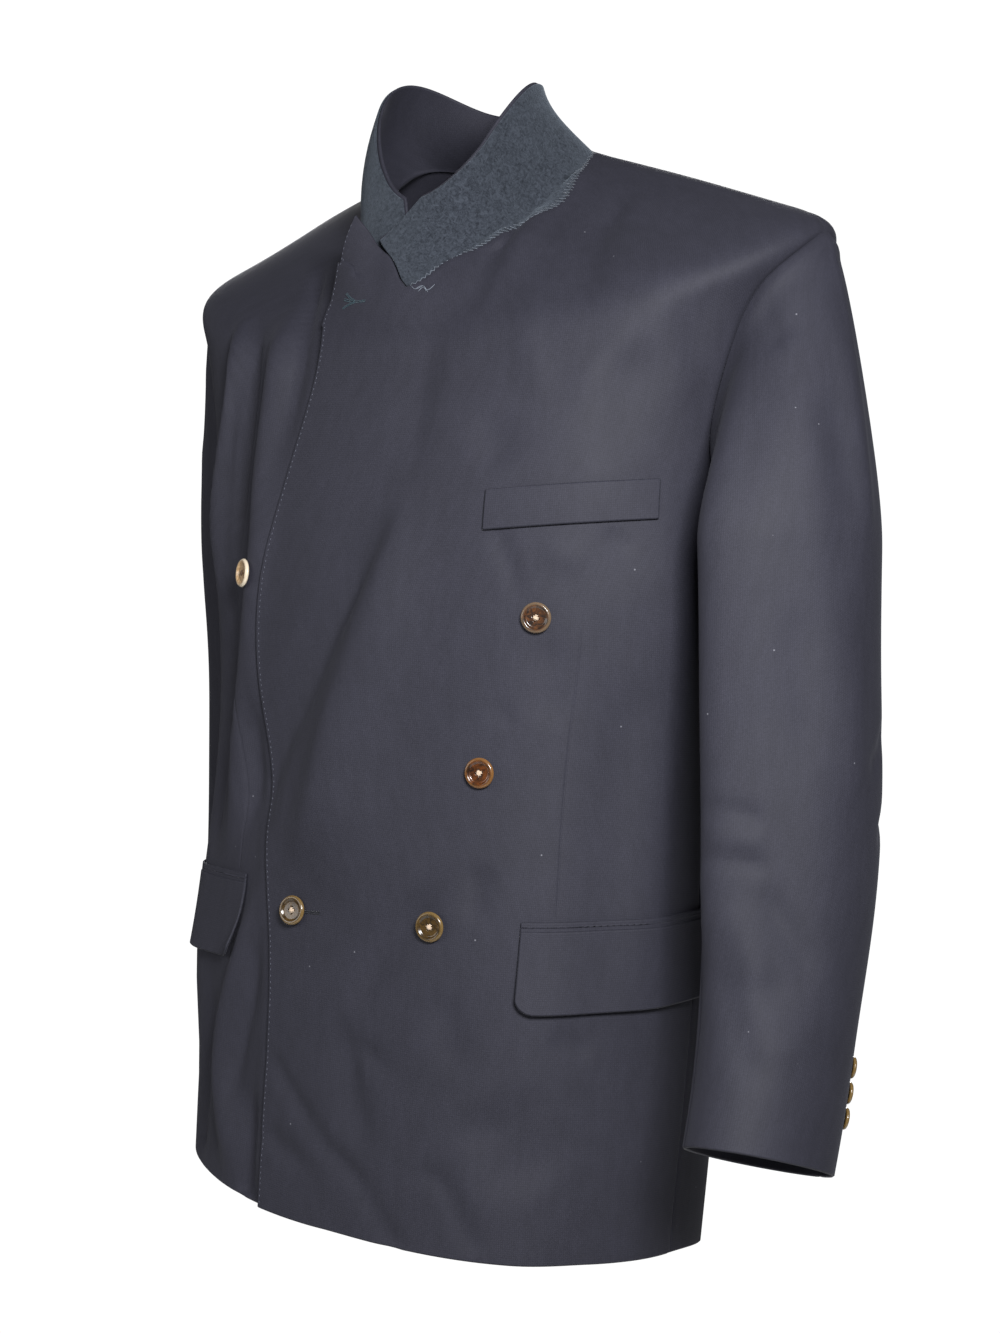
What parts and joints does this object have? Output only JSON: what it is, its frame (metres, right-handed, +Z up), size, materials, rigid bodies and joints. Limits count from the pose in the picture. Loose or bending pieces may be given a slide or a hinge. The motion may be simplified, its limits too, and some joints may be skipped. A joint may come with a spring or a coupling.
{
  "type": "double breasted blazer worn with its collar up",
  "caption": "Double breasted blazer in worn form, hollow, collar turned up and peak lapel crossed over, with flap pockets, breast welt and horn buttons",
  "frame": {"origin": "between the two points where the shoulder seams meet the neck, where the wearer's neck and shoulders hold the blazer up", "axes": "+Z up, the front faces -Y, +X is the wearer's left"},
  "size_m": [0.6591, 0.3417, 0.8885],
  "materials": {
    "suiting": "matte fine wool weave",
    "felt": "matte mottled felt",
    "horn": "polished brown horn look with a paler rim"
  },
  "bodies": {
    "root": {"front_left": "suiting", "front_right": "suiting", "back_left": "suiting", "back_right": "suiting", "top_collar": "suiting", "breast_welt": "suiting", "jet_left": "suiting", "jet_right": "suiting", "flap_left": "suiting", "flap_right": "suiting", "sleeve_left_top": "suiting", "sleeve_left_under": "suiting", "sleeve_right_top": "suiting", "sleeve_right_under": "suiting", "under_collar": "felt", "button_left_top": "horn", "button_left_middle": "horn", "button_left_low": "horn", "button_fastened": "horn", "button_right_top": "horn", "cuff_button_left_1": "horn", "cuff_button_left_2": "horn", "cuff_button_left_3": "horn", "cuff_button_right_1": "horn", "cuff_button_right_2": "horn", "cuff_button_right_3": "horn"}
  },
  "joints": []
}
